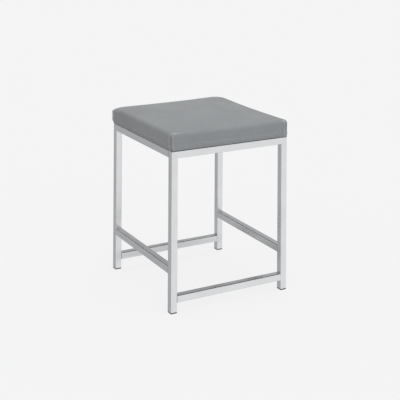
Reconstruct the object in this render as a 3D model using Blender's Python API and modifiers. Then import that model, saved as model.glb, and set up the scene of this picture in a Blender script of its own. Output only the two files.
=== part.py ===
"""A vanity stool: a welded square-tube frame that carries a padded, upholstered seat.

Metres, +Z up. The stool stands on z = 0, centred on the Z axis, with its front towards -Y.
"""

import math

import bmesh
import bpy
from mathutils import Matrix, Vector

# Clearance left between pieces that touch
GAP = 0.0003

# Frame, over the outside of its tubes
FRAME_WIDTH = 0.361
FRAME_DEPTH = 0.361
FRAME_HEIGHT = 0.421
TUBE_SIZE = 0.019
TUBE_WALL = 0.0012
TUBE_CORNER = 0.002
STRETCHER_TOP = 0.119
FOOT_RAIL_TOP = 0.0455

# Plastic glides: a flange under the leg and a ribbed plug inside it
GLIDE_FLANGE = 0.003
GLIDE_CHAMFER = 0.0008
GLIDE_PLUG = 0.014
GLIDE_FINS = 3
GLIDE_FIN_THICKNESS = 0.0012
GLIDE_FIN_DEPTH = 0.0009

# Corner plates welded between the top rails
PLATE_LEG = 0.056
PLATE_THICKNESS = 0.0025
PLATE_CLIP = 0.006

# Seat bolts, at this distance from the inner faces of both rails
BOLT_INSET = 0.020
BOLT_RADIUS = 0.003
BOLT_CHAMFER = 0.0006
BOLT_HEAD_RADIUS = 0.0053
BOLT_HEAD_HEIGHT = 0.0033
BOLT_SOCKET = 0.004
BOLT_SOCKET_DEPTH = 0.002
BOLT_SOCKET_RIM = 0.0005
BOLT_ENGAGEMENT = 0.0075
BOLT_HOLE_SLACK = 0.0005
WASHER_RADIUS = 0.0062
WASHER_THICKNESS = 0.0012
NUT_LENGTH = 0.010
NUT_WALL = 0.0011
NUT_FLANGE_RADIUS = 0.0095
NUT_FLANGE_THICKNESS = 0.0015

# Seat: board, foam and cover
SEAT_OVERHANG = 0.0013
BOARD_THICKNESS = 0.012
BOARD_CORNER = 0.010
FOAM_THICKNESS = 0.0315
FOAM_CROWN = 0.006
FOAM_EDGE_RADIUS = 0.011
FOAM_TOP_CORNER = 0.001
FOAM_BULGE = 0.0028
FOAM_DRAW_IN = 0.0015
COVER_THICKNESS = 0.001
HEM_REACH = 0.0095
HEM_CORNER = 0.004

# Dust cover under the board, and the staples that hold it
DUST_THICKNESS = 0.0006
DUST_MARGIN = 0.004
DUST_CORNER = 0.010
STAPLE_CROWN = 0.010
STAPLE_WIRE = 0.00045
STAPLE_LEG_IN_BOARD = 0.005
STAPLE_SPOTS = (-1, 0, 1)

# Fineness of the meshes
TUBE_CORNER_STEPS = 4
BORE_CORNER_STEPS = 2
SEAT_CORNER_STEPS = 3
SEAT_SIDE_STEPS = 5
TOP_RINGS = (0.35, 0.65, 0.86, 1.0)
EDGE_STEPS = 3
SIDE_SHARES = (0.5, 0.0)
HEM_STEPS = 2
HEAD_STEPS = 4
TURNED_STEPS = 24
HOLE_STEPS = 24
WELD = 1e-6
SHARP_ANGLE = math.radians(35)

# Worked out: the frame
HALF_TUBE = TUBE_SIZE / 2
HALF_BORE = HALF_TUBE - TUBE_WALL
BORE_CORNER = TUBE_CORNER - TUBE_WALL
MITRE_GAP = GAP * math.sqrt(0.5)
LEG_X = FRAME_WIDTH / 2 - HALF_TUBE
LEG_Y = FRAME_DEPTH / 2 - HALF_TUBE
INNER_X = FRAME_WIDTH / 2 - TUBE_SIZE
INNER_Y = FRAME_DEPTH / 2 - TUBE_SIZE
BOLT_X = INNER_X - BOLT_INSET
BOLT_Y = INNER_Y - BOLT_INSET
BOLT_HOLE = BOLT_RADIUS + GAP + BOLT_HOLE_SLACK

# Worked out: levels above the top of the frame, where the seat is placed
HEM_BOTTOM = GAP
BOARD_BOTTOM = HEM_BOTTOM + COVER_THICKNESS + GAP
BOARD_TOP = BOARD_BOTTOM + BOARD_THICKNESS
FOAM_BOTTOM = BOARD_TOP + GAP
FOAM_SHOULDER = FOAM_BOTTOM + FOAM_THICKNESS
DUST_TOP = HEM_BOTTOM - GAP
DUST_BOTTOM = DUST_TOP - DUST_THICKNESS
PLATE_TOP = DUST_BOTTOM - GAP
PLATE_BOTTOM = PLATE_TOP - PLATE_THICKNESS
WASHER_TOP = PLATE_BOTTOM - GAP
HEAD_TOP = WASHER_TOP - WASHER_THICKNESS - GAP
NUT_TOP = BOARD_TOP - GAP
NUT_BOTTOM = NUT_TOP - NUT_LENGTH
NUT_BORE = BOLT_RADIUS + GAP
NUT_BARREL = NUT_BORE + NUT_WALL

# Worked out: half sizes of the seat, seen from above
BOARD_X = FRAME_WIDTH / 2 + SEAT_OVERHANG - COVER_THICKNESS - GAP
BOARD_Y = FRAME_DEPTH / 2 + SEAT_OVERHANG - COVER_THICKNESS - GAP
FOAM_X = BOARD_X + FOAM_BULGE
FOAM_Y = BOARD_Y + FOAM_BULGE
FOAM_TOP_X = FOAM_X - FOAM_EDGE_RADIUS
FOAM_TOP_Y = FOAM_Y - FOAM_EDGE_RADIUS
FOAM_CORNER = FOAM_TOP_CORNER + FOAM_EDGE_RADIUS
HEM_X = INNER_X - HEM_REACH
HEM_Y = INNER_Y - HEM_REACH
DUST_X = INNER_X - DUST_MARGIN
DUST_Y = INNER_Y - DUST_MARGIN

CORNERS = (("rear_right", 1, 1), ("rear_left", -1, 1), ("front_left", -1, -1), ("front_right", 1, -1))
QUARTER = math.pi / 2
LYING_ALONG_X = (0, -QUARTER, 0)
LYING_ALONG_Y = (QUARTER, 0, 0)


def clear_scene():
    for obj in list(bpy.data.objects):
        bpy.data.objects.remove(obj)


def new_collection(name):
    collection = bpy.data.collections.new(name)
    bpy.context.scene.collection.children.link(collection)
    return collection


def new_material(name, colour, roughness, metallic=0.0):
    material = bpy.data.materials.new(name)
    material.use_nodes = True
    shader = material.node_tree.nodes["Principled BSDF"]
    shader.inputs["Base Color"].default_value = (*colour, 1.0)
    shader.inputs["Roughness"].default_value = roughness
    shader.inputs["Metallic"].default_value = metallic
    return material


def new_empty(name, collection, parent=None, height=0.0):
    empty = bpy.data.objects.new(name, None)
    collection.objects.link(empty)
    empty.parent = parent
    empty.location.z = height
    return empty


def new_part(name, mesh, material, parent, location=(0, 0, 0), rotation=(0, 0, 0)):
    """One named piece of the stool, placed under its parent."""
    part = bpy.data.objects.new(name, mesh)
    stool_parts.objects.link(part)
    part.parent = parent
    part.location = location
    part.rotation_euler = rotation
    if material.name not in mesh.materials:
        mesh.materials.append(material)
    return part


def new_cutter(name, mesh, parent, location=(0, 0, 0)):
    cutter = bpy.data.objects.new(name, mesh)
    cutters.objects.link(cutter)
    cutter.parent = parent
    cutter.location = location
    cutter.hide_render = True
    cutter.display_type = "WIRE"
    return cutter


def cut(part, cutter):
    modifier = part.modifiers.new(cutter.name, "BOOLEAN")
    modifier.operation = "DIFFERENCE"
    modifier.solver = "EXACT"
    modifier.object = cutter


def smooth(mesh):
    mesh.shade_smooth()
    mesh.set_sharp_from_angle(angle=SHARP_ANGLE)


def circle(centre_x, centre_y, radius):
    angles = [2 * math.pi * i / HOLE_STEPS for i in range(HOLE_STEPS)]
    return [(centre_x + radius * math.cos(a), centre_y + radius * math.sin(a)) for a in angles]


def rounded_outline(half_x, half_y, radius, corner_steps, side_steps=1, draw_in=0.0):
    """A rounded rectangle, anticlockwise, with its sides pulled in between the corners."""
    points = []
    for quarter, (_, side_x, side_y) in enumerate(CORNERS):
        centre = Vector((side_x * (half_x - radius), side_y * (half_y - radius)))
        for step in range(corner_steps + 1):
            angle = QUARTER * (quarter + step / corner_steps)
            points.append(centre + radius * Vector((math.cos(angle), math.sin(angle))))
        _, next_x, next_y = CORNERS[(quarter + 1) % len(CORNERS)]
        angle = QUARTER * (quarter + 1)
        outward = Vector((math.cos(angle), math.sin(angle)))
        start = points[-1]
        end = Vector((next_x * (half_x - radius), next_y * (half_y - radius))) + radius * outward
        for step in range(1, side_steps):
            share = step / side_steps
            pull = draw_in * (1 - (2 * share - 1) ** 2)
            points.append(start.lerp(end, share) - pull * outward)
    return points


def extruded(outlines, thickness):
    """A flat mesh, centred on z = 0: the first outline with the others as its holes."""
    curve = bpy.data.curves.new("outline", "CURVE")
    curve.dimensions = "2D"
    curve.fill_mode = "BOTH"
    curve.extrude = thickness / 2
    for outline in outlines:
        spline = curve.splines.new("POLY")
        spline.points.add(len(outline) - 1)
        spline.use_cyclic_u = True
        for point, (x, y) in zip(spline.points, outline):
            point.co = (x, y, 0, 1)
    holder = bpy.data.objects.new("outline", curve)
    bpy.context.scene.collection.objects.link(holder)
    graph = bpy.context.evaluated_depsgraph_get()
    mesh = bpy.data.meshes.new_from_object(holder.evaluated_get(graph))
    bpy.data.objects.remove(holder)
    bpy.data.curves.remove(curve)
    edit = bmesh.new()
    edit.from_mesh(mesh)
    bmesh.ops.remove_doubles(edit, verts=edit.verts, dist=WELD)
    bmesh.ops.recalc_face_normals(edit, faces=edit.faces)
    edit.to_mesh(mesh)
    edit.free()
    return mesh


def lofted(name, rings, start_pole=None, end_pole=None):
    """A closed mesh through rings of equal length. An end without a pole is a flat cap."""
    edit = bmesh.new()
    rows = [[edit.verts.new(point) for point in ring] for ring in rings]
    count = len(rows[0])
    for row, following in zip(rows, rows[1:]):
        for i in range(count):
            j = (i + 1) % count
            edit.faces.new((row[i], row[j], following[j]))
            edit.faces.new((row[i], following[j], following[i]))
    for row, pole in ((rows[0], start_pole), (rows[-1], end_pole)):
        if pole is None:
            edit.faces.new(row)
            continue
        tip = edit.verts.new(pole)
        for i in range(count):
            edit.faces.new((row[i], row[(i + 1) % count], tip))
    bmesh.ops.recalc_face_normals(edit, faces=edit.faces)
    mesh = bpy.data.meshes.new(name)
    edit.to_mesh(mesh)
    edit.free()
    smooth(mesh)
    return mesh


def turned(part, steps=TURNED_STEPS):
    """Turn a part's profile about its Z axis."""
    modifier = part.modifiers.new("turned", "SCREW")
    modifier.steps = steps
    modifier.render_steps = steps
    modifier.use_merge_vertices = True
    modifier.merge_threshold = WELD


def profile_mesh(name, points, closed):
    """The edges of a profile in the XZ plane, from its top down its outer side."""
    edges = [(i, i + 1) for i in range(len(points) - 1)]
    if closed:
        edges.append((len(points) - 1, 0))
    mesh = bpy.data.meshes.new(name)
    mesh.from_pydata([(x, 0, z) for x, z in points], edges, [])
    return mesh


def tube_mesh(length, start_mitre=0, end_mitre=0):
    """A hollow tube along Z. A mitred end is longer on the +X side, or on the -X side if negative."""
    outside = rounded_outline(HALF_TUBE, HALF_TUBE, TUBE_CORNER, TUBE_CORNER_STEPS)
    bore = rounded_outline(HALF_BORE, HALF_BORE, BORE_CORNER, BORE_CORNER_STEPS)
    mesh = extruded((outside, bore), length)
    for vertex in mesh.vertices:
        if vertex.co.z > 0:
            vertex.co.z += end_mitre * vertex.co.x
        else:
            vertex.co.z -= start_mitre * vertex.co.x
    smooth(mesh)
    return mesh


def build_legs(parent):
    """The legs stand on their glides, and are mitred to the front and rear rails."""
    foot = GLIDE_FLANGE + GAP
    top = FRAME_HEIGHT - HALF_TUBE - MITRE_GAP
    for corner, side_x, side_y in CORNERS:
        mesh = tube_mesh(top - foot, end_mitre=side_x)
        centre = (side_x * LEG_X, side_y * LEG_Y, (top + foot) / 2)
        new_part(f"leg_{corner}", mesh, steel, parent, centre)


def build_rails(parent):
    """Rails between the legs: the front and rear top rails are mitred, the others butt."""
    mitred_length = 2 * (LEG_X - MITRE_GAP)
    length_x = 2 * (INNER_X - GAP)
    length_y = 2 * (INNER_Y - GAP)
    top_z = FRAME_HEIGHT - HALF_TUBE
    stretcher_z = STRETCHER_TOP - HALF_TUBE
    foot_z = FOOT_RAIL_TOP - HALF_TUBE
    for side, sign in (("front", -1), ("rear", 1)):
        mesh = tube_mesh(mitred_length, start_mitre=1, end_mitre=1)
        new_part(f"top_rail_{side}", mesh, steel, parent, (0, sign * LEG_Y, top_z), LYING_ALONG_X)
        mesh = tube_mesh(length_x)
        new_part(f"foot_rail_{side}", mesh, steel, parent, (0, sign * LEG_Y, foot_z), LYING_ALONG_X)
    for side, sign in (("left", -1), ("right", 1)):
        mesh = tube_mesh(length_y)
        new_part(f"top_rail_{side}", mesh, steel, parent, (sign * LEG_X, 0, top_z), LYING_ALONG_Y)
        mesh = tube_mesh(length_y)
        place = (sign * LEG_X, 0, stretcher_z)
        new_part(f"side_stretcher_{side}", mesh, steel, parent, place, LYING_ALONG_Y)


def build_glides(parent):
    """A flange as wide as the leg, with a plug whose fins fill the bore."""
    fin = HALF_BORE - GAP
    core = fin - GLIDE_FIN_DEPTH
    pitch = GLIDE_PLUG / (GLIDE_FINS + 1)
    levels = [
        (0, HALF_TUBE - GLIDE_CHAMFER, TUBE_CORNER),
        (GLIDE_CHAMFER, HALF_TUBE, TUBE_CORNER),
        (GLIDE_FLANGE, HALF_TUBE, TUBE_CORNER),
        (GLIDE_FLANGE, core, BORE_CORNER),
    ]
    for number in range(1, GLIDE_FINS + 1):
        low = GLIDE_FLANGE + number * pitch - GLIDE_FIN_THICKNESS / 2
        high = low + GLIDE_FIN_THICKNESS
        levels += [(low, core, BORE_CORNER), (low, fin, BORE_CORNER)]
        levels += [(high, fin, BORE_CORNER), (high, core, BORE_CORNER)]
    levels.append((GLIDE_FLANGE + GLIDE_PLUG, core, BORE_CORNER))
    rings = []
    for z, half, radius in levels:
        outline = rounded_outline(half, half, radius, BORE_CORNER_STEPS)
        rings.append([(x, y, z) for x, y in outline])
    mesh = lofted("foot_glide", rings)
    for corner, side_x, side_y in CORNERS:
        place = (side_x * LEG_X, side_y * LEG_Y, 0)
        new_part(f"foot_glide_{corner}", mesh, black_plastic, parent, place)


def build_corner_plates(parent):
    """Flat gussets with one bolt hole, in the corners of the top rails."""
    near, far = -GAP, -PLATE_LEG
    outline = [
        (near, near),
        (far, near),
        (far, near - PLATE_CLIP),
        (near - PLATE_CLIP, far),
        (near, far),
    ]
    hole = circle(-BOLT_INSET, -BOLT_INSET, BOLT_HOLE)
    mesh = extruded((outline, hole), PLATE_THICKNESS)
    smooth(mesh)
    height = FRAME_HEIGHT + PLATE_TOP - PLATE_THICKNESS / 2
    for quarter, (corner, side_x, side_y) in enumerate(CORNERS):
        place = (side_x * INNER_X, side_y * INNER_Y, height)
        new_part(f"corner_plate_{corner}", mesh, steel, parent, place, (0, 0, quarter * QUARTER))


def bolt_profile():
    """Half of a button-head bolt that points up, its head's upper face at z = 0."""
    tip = NUT_BOTTOM + BOLT_ENGAGEMENT - HEAD_TOP
    flat = BOLT_SOCKET / math.sqrt(3) + BOLT_SOCKET_RIM
    points = [(0, tip), (BOLT_RADIUS - BOLT_CHAMFER, tip)]
    points += [(BOLT_RADIUS, tip - BOLT_CHAMFER), (BOLT_RADIUS, 0)]
    for step in range(HEAD_STEPS + 1):
        angle = QUARTER * step / HEAD_STEPS
        across = flat + (BOLT_HEAD_RADIUS - flat) * math.cos(angle)
        points.append((across, -BOLT_HEAD_HEIGHT * math.sin(angle)))
    points.append((0, -BOLT_HEAD_HEIGHT))
    return points


def hexagon_mesh(across_flats, depth):
    edit = bmesh.new()
    radius = across_flats / math.sqrt(3)
    bmesh.ops.create_cone(edit, cap_ends=True, segments=6, radius1=radius, radius2=radius, depth=depth)
    mesh = bpy.data.meshes.new("hexagon")
    edit.to_mesh(mesh)
    edit.free()
    return mesh


def build_fasteners(parent):
    """A bolt, a washer and a tee nut at each corner plate."""
    rim = circle(0, 0, WASHER_RADIUS)
    hole = circle(0, 0, BOLT_RADIUS + GAP)
    washer_mesh = extruded((rim, hole), WASHER_THICKNESS)
    smooth(washer_mesh)
    nut_profile = [
        (NUT_BORE, 0),
        (NUT_FLANGE_RADIUS, 0),
        (NUT_FLANGE_RADIUS, -NUT_FLANGE_THICKNESS),
        (NUT_BARREL, -NUT_FLANGE_THICKNESS),
        (NUT_BARREL, -NUT_LENGTH),
        (NUT_BORE, -NUT_LENGTH),
    ]
    nut_mesh = profile_mesh("tee_nut", nut_profile, closed=True)
    bolt_mesh = profile_mesh("seat_bolt", bolt_profile(), closed=False)
    socket_mesh = hexagon_mesh(BOLT_SOCKET, 2 * BOLT_SOCKET_DEPTH)
    for corner, side_x, side_y in CORNERS:
        x = side_x * BOLT_X
        y = side_y * BOLT_Y
        bolt = new_part(f"seat_bolt_{corner}", bolt_mesh, zinc, parent, (x, y, HEAD_TOP))
        turned(bolt)
        socket_place = (x, y, HEAD_TOP - BOLT_HEAD_HEIGHT)
        cut(bolt, new_cutter(f"socket_{corner}", socket_mesh, parent, socket_place))
        washer_place = (x, y, WASHER_TOP - WASHER_THICKNESS / 2)
        new_part(f"seat_washer_{corner}", washer_mesh, zinc, parent, washer_place)
        turned(new_part(f"tee_nut_{corner}", nut_mesh, zinc, parent, (x, y, NUT_TOP)))


def foam_crown(x, y):
    """How far the crown rises above the foam's shoulder at a point of its top."""
    share_x = min(abs(x) / FOAM_TOP_X, 1)
    share_y = min(abs(y) / FOAM_TOP_Y, 1)
    return FOAM_CROWN * (1 - share_x**2) * (1 - share_y**2)


def seat_outline(half_x, half_y, radius, draw_in=0.0):
    return rounded_outline(half_x, half_y, radius, SEAT_CORNER_STEPS, SEAT_SIDE_STEPS, draw_in)


def padding_rings(offset):
    """Rings down the padding, from its top to the board, this far outside the foam."""
    rings = []
    for share in TOP_RINGS:
        half_x = FOAM_TOP_X * share
        half_y = FOAM_TOP_Y * share
        outline = seat_outline(half_x, half_y, FOAM_TOP_CORNER * share, FOAM_DRAW_IN * share)
        rings.append([(x, y, FOAM_SHOULDER + foam_crown(x, y) + offset) for x, y in outline])
    radius = FOAM_EDGE_RADIUS + offset
    for step in range(1, EDGE_STEPS + 1):
        angle = QUARTER * step / EDGE_STEPS
        out = radius * math.sin(angle)
        z = FOAM_SHOULDER - FOAM_EDGE_RADIUS + radius * math.cos(angle)
        outline = seat_outline(FOAM_TOP_X + out, FOAM_TOP_Y + out, FOAM_TOP_CORNER + out, FOAM_DRAW_IN)
        rings.append([(x, y, z) for x, y in outline])
    for share in SIDE_SHARES:
        out = FOAM_BULGE * math.sin(QUARTER * share) + offset
        corner = BOARD_CORNER + (FOAM_CORNER - BOARD_CORNER) * share + offset
        z = FOAM_BOTTOM + (FOAM_THICKNESS - FOAM_EDGE_RADIUS) * share
        outline = seat_outline(BOARD_X + out, BOARD_Y + out, corner, FOAM_DRAW_IN * share)
        rings.append([(x, y, z) for x, y in outline])
    return rings


def cover_rings(offset):
    """The padding's rings, carried on down the board's edge and under it to the hem."""
    rings = padding_rings(offset)
    for step in range(HEM_STEPS + 1):
        angle = QUARTER * step / HEM_STEPS
        out = offset * math.cos(angle)
        z = BOARD_BOTTOM - offset * math.sin(angle)
        outline = seat_outline(BOARD_X + out, BOARD_Y + out, BOARD_CORNER + out)
        rings.append([(x, y, z) for x, y in outline])
    hem_edge = seat_outline(HEM_X, HEM_Y, HEM_CORNER)
    rings.append([(x, y, BOARD_BOTTOM - offset) for x, y in hem_edge])
    return rings


def top_pole(offset):
    return (0, 0, FOAM_SHOULDER + FOAM_CROWN + offset)


def staple_places():
    """Where the staples go: a name, a middle point and the direction that the crown runs in."""
    line_x = (HEM_X + DUST_X) / 2
    line_y = (HEM_Y + DUST_Y) / 2
    spread_x = INNER_X - PLATE_LEG - STAPLE_CROWN
    spread_y = INNER_Y - PLATE_LEG - STAPLE_CROWN
    places = []
    for number, spot in enumerate(STAPLE_SPOTS, 1):
        for side, sign in (("front", -1), ("rear", 1)):
            middle = Vector((spot * spread_x, sign * line_y))
            places.append((f"{side}_{number}", middle, Vector((1, 0))))
        for side, sign in (("left", -1), ("right", 1)):
            middle = Vector((sign * line_x, spot * spread_y))
            places.append((f"{side}_{number}", middle, Vector((0, 1))))
    return places


def staple_hole_mesh():
    """Square holes for every staple's legs, as one mesh of separate blocks."""
    top = BOARD_BOTTOM + STAPLE_LEG_IN_BOARD + GAP
    bottom = DUST_BOTTOM - GAP
    size = 2 * (STAPLE_WIRE + GAP)
    edit = bmesh.new()
    for _, middle, along in staple_places():
        for end in (-1, 1):
            centre = middle + end * (STAPLE_CROWN / 2 - STAPLE_WIRE) * along
            place = Matrix.Translation((*centre, (top + bottom) / 2))
            stretch = Matrix.Diagonal((size, size, top - bottom, 1))
            bmesh.ops.create_cube(edit, size=1, matrix=place @ stretch)
    mesh = bpy.data.meshes.new("staple_holes")
    edit.to_mesh(mesh)
    edit.free()
    return mesh


def build_staples(parent):
    """Wire staples driven up through the dust cover and the hem into the board."""
    crown_z = DUST_BOTTOM - GAP - STAPLE_WIRE
    tip_z = BOARD_BOTTOM + STAPLE_LEG_IN_BOARD
    for name, middle, along in staple_places():
        curve = bpy.data.curves.new("staple", "CURVE")
        curve.dimensions = "3D"
        curve.bevel_depth = STAPLE_WIRE
        curve.bevel_resolution = 0
        curve.use_fill_caps = True
        spline = curve.splines.new("POLY")
        reach = (STAPLE_CROWN / 2 - STAPLE_WIRE) * along
        corners = ((-reach, tip_z), (-reach, crown_z), (reach, crown_z), (reach, tip_z))
        spline.points.add(len(corners) - 1)
        for point, (side, z) in zip(spline.points, corners):
            point.co = (*side, z, 1)
        new_part(f"staple_{name}", curve, zinc, parent, (*middle, 0))


def nut_recess_mesh():
    """A stepped hole for a tee nut, cut from the top of the board."""
    flange = NUT_FLANGE_RADIUS + GAP
    barrel = NUT_BARREL + GAP
    step = -NUT_FLANGE_THICKNESS - GAP
    top = 2 * GAP
    bottom = BOARD_BOTTOM - NUT_TOP - GAP
    points = [(0, top), (flange, top), (flange, step), (barrel, step), (barrel, bottom), (0, bottom)]
    return profile_mesh("nut_recess", points, closed=False)


def build_seat(parent):
    """Board, foam, cover and dust cover, from the same outlines."""
    staple_holes = new_cutter("staple_holes", staple_hole_mesh(), parent)

    outline = rounded_outline(BOARD_X, BOARD_Y, BOARD_CORNER, SEAT_CORNER_STEPS)
    board_mesh = extruded((outline,), BOARD_THICKNESS)
    smooth(board_mesh)
    middle = (0, 0, (BOARD_BOTTOM + BOARD_TOP) / 2)
    board = new_part("seat_board", board_mesh, plywood, parent, middle)
    recess_mesh = nut_recess_mesh()
    for corner, side_x, side_y in CORNERS:
        place = (side_x * BOLT_X, side_y * BOLT_Y, NUT_TOP)
        recess = new_cutter(f"nut_recess_{corner}", recess_mesh, parent, place)
        turned(recess)
        cut(board, recess)
    cut(board, staple_holes)

    foam_mesh = lofted("seat_foam", padding_rings(0)[::-1], end_pole=top_pole(0))
    new_part("seat_foam", foam_mesh, foam, parent)

    outer = GAP + COVER_THICKNESS
    rings = cover_rings(outer) + cover_rings(GAP)[::-1]
    cover_mesh = lofted("seat_cover", rings, top_pole(outer), top_pole(GAP))
    cut(new_part("seat_cover", cover_mesh, leatherette, parent), staple_holes)

    holes = [circle(side_x * BOLT_X, side_y * BOLT_Y, BOLT_HOLE) for _, side_x, side_y in CORNERS]
    sheet = rounded_outline(DUST_X, DUST_Y, DUST_CORNER, SEAT_CORNER_STEPS)
    dust_mesh = extruded((sheet, *holes), DUST_THICKNESS)
    smooth(dust_mesh)
    middle = (0, 0, (DUST_TOP + DUST_BOTTOM) / 2)
    cut(new_part("dust_cover", dust_mesh, black_cloth, parent, middle), staple_holes)


clear_scene()
stool_parts = new_collection("vanity_stool")
cutters = new_collection("cutters")
steel = new_material("polished_steel", (0.62, 0.62, 0.63), 0.22, 1.0)
zinc = new_material("zinc_plated_steel", (0.52, 0.53, 0.55), 0.35, 1.0)
black_plastic = new_material("black_plastic", (0.02, 0.02, 0.02), 0.5)
plywood = new_material("plywood", (0.50, 0.35, 0.20), 0.7)
foam = new_material("foam", (0.80, 0.74, 0.55), 0.9)
leatherette = new_material("grey_leatherette", (0.27, 0.28, 0.285), 0.45)
black_cloth = new_material("black_nonwoven_cloth", (0.015, 0.015, 0.015), 0.9)

stool = new_empty("stool", stool_parts)
frame = new_empty("frame", stool_parts, stool)
seat = new_empty("seat", stool_parts, stool, FRAME_HEIGHT)
build_legs(frame)
build_rails(frame)
build_glides(frame)
build_corner_plates(frame)
build_seat(seat)
build_fasteners(seat)
build_staples(seat)
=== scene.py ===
"""The looks of a vanity stool: finishes for its square-tube frame, and its upholstered seat."""

import math

import bmesh
import bpy
from mathutils import Matrix, Vector
from mathutils.bvhtree import BVHTree


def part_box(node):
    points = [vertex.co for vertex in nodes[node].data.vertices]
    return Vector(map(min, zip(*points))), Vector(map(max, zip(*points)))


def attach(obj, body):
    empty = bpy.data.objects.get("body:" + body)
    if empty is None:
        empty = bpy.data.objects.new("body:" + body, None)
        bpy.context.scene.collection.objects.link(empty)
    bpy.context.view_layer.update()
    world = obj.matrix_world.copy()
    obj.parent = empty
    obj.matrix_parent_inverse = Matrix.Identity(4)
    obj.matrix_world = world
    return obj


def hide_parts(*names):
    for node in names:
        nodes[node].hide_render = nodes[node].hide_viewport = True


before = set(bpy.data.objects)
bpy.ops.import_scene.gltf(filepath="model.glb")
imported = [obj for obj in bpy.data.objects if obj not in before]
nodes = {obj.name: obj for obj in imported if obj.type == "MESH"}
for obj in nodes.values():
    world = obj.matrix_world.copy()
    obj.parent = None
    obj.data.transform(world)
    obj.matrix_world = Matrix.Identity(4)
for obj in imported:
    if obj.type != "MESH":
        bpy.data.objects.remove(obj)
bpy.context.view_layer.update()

# Camera: the photograph keeps upright lines upright, so its lens axis is level
PICTURE_SIZE = 400
SENSOR_WIDTH = 36.0
CAMERA_PLACE = Vector((-1.36071, -2.39387, 1.07718))
CAMERA_YAW = 0.48786
CAMERA_ROLL = 0.00577
FOCAL_PIXELS = 969.05
AXIS_PIXEL = (171.24, -101.45)

# Studio, as the metal mirrors it: a pale room with a grey ceiling, a low white softbox in front with a
# brighter panel over it, a white panel behind, and two dark flags that draw a line along the upper edges of
# the rails. Levels and sides are parts of a direction of length 1
BACKDROP = (0.913, 0.913, 0.913)
ROOM_WALL = (0.71, 0.71, 0.715)
ROOM_FLOOR = (0.712, 0.712, 0.718)
ROOM_TURN = 0.1
CEILING = (0.46, 0.46, 0.465)
CEILING_FROM = 0.44
CEILING_TO = 0.60
SOFTBOX = (1.38, 1.38, 1.38)
SOFTBOX_SIDE = (0.494, -0.869, 0.0)
SOFTBOX_FROM = -0.25
SOFTBOX_TO = 0.45
SOFTBOX_FULL_BELOW = 0.08
SOFTBOX_NONE_ABOVE = 0.48
KEY_PANEL = (1.5, 1.5, 1.5)
KEY_PANEL_SIDE = (0.55, 0.80)
KEY_PANEL_FOOT = (0.10, 0.22)
KEY_PANEL_HEAD = (0.42, 0.54)
BACK_PANEL = (1.25, 1.25, 1.25)
BACK_PANEL_FROM = 0.45
BACK_PANEL_TO = 0.85
BACK_PANEL_FOOT = (-0.05, 0.1)
BACK_PANEL_HEAD = (0.25, 0.36)
FLAG = (0.01, 0.01, 0.01)
FLAGS = (  # across an axis, the middle and how far it is full and reaches; up a slant, where it fades in
    {"across": "Y", "middle": 0.82, "full": 0.045, "reach": 0.125,
     "up": (-0.30, 0.0, 1.0), "from": 0.245, "to": 0.33},
    {"across": "X", "middle": 0.47, "full": 0.055, "reach": 0.145,
     "up": (0.0, -0.15, 1.0), "from": 0.435, "to": 0.53},
)
FLAG_END = (-0.52, -0.42)

# Light that falls on the object: an even fill and two broad lamps
FILL_COLOUR = (0.27, 0.275, 0.285)
OVERHEAD_STRENGTH = 2.60
OVERHEAD_FROM = (0.0, -0.12, 1.0)
OVERHEAD_ANGLE = math.radians(120)
FRONT_STRENGTH = 0.65
FRONT_FROM = (0.35, -0.8, 0.5)
FRONT_ANGLE = math.radians(60)
FRONT_COLOUR = (0.95, 1.0, 1.07)

# Floor, and what the metal mirrors through it
FLOOR_SIZE = 40.0
FLOOR_COLOUR = (0.64, 0.64, 0.64)
FLOOR_GLOW = 0.88
FLOOR_GLOW_COLOUR = (0.931, 0.931, 0.931)
MIRRORED = 0.9
MIRRORED_BRIGHT = 0.1
BRIGHT_PLACE = (0.0, 0.30)
BRIGHT_REACH = (0.15, 0.18)
MIRRORED_SHADE = 0.27
SHADE_PLACE = (0.02, 0.070)
SHADE_REACH = (0.27, 0.048)
SPOT_FADE = (0.3, 1.2)

# Polishing streaks in a metre of tube
STREAKS_ACROSS = 1600.0
STREAKS_ALONG = 14.0

# Seat cover, outside. Corners are in the order front right, rear right, rear left, front left
EDGE_RADIUS = 0.0095
EDGE_STEPS = 5
SHOULDER_SHARE = 0.1145
BOTTOM_RADIUS = 0.0028
BOTTOM_STEPS = 3
SIDE_ROWS = 8
TOP_CORNERS = (0.0015, 0.008, 0.001, 0.001)
SHOULDER_CORNERS = (0.0055, 0.011, 0.002, 0.004)
CORNER_DIPS = (0.0, 0.0042, 0.0062, 0.0)
CORNER_LIFTS = (0.0014, 0.0030, 0.0, 0.0)
DIP_REACHES = (0.020, 0.028, 0.020, 0.020)
LIFT_REACH = 0.090
BOARD_CORNER = 0.0075
HEM_CORNER = 0.005
SHOULDER_HALF = 0.1847
BOARD_HALF = 0.1824
HEM_HALF = 0.152
HEM_ROWS = 3
WIDTH_TAPER = 3
CORNER_TAPER = 4
DRAW_IN = 0.0014
DRAW_IN_POWER = 7
DRAW_IN_FADE = 0.6
LEAN = (-0.0012, 0.0007)
LEAN_FROM = 0.4225
LEAN_TO = 0.433
FIRST_CROWN = 0.4
CROWN_POWER = 0.7
SETTLED_BELOW = 0.003
CORNER_STEPS = (0.0, 0.0012, 0.0024, 0.0036, 0.0048, 0.006, 0.0075, 0.0095, 0.0125, 0.017)
PLAIN_STEPS = 20
CLOTH_FRAMES = 20
CLOTH_QUALITY = 6
CLOTH_MASS = 0.3
CLOTH_PRESSURE = 4
SIDE_CAP = 0.002
POCKET_GAP = 0.0003
POCKET_CORNER = 0.010
COVER_THICKNESS = 0.001

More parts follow.
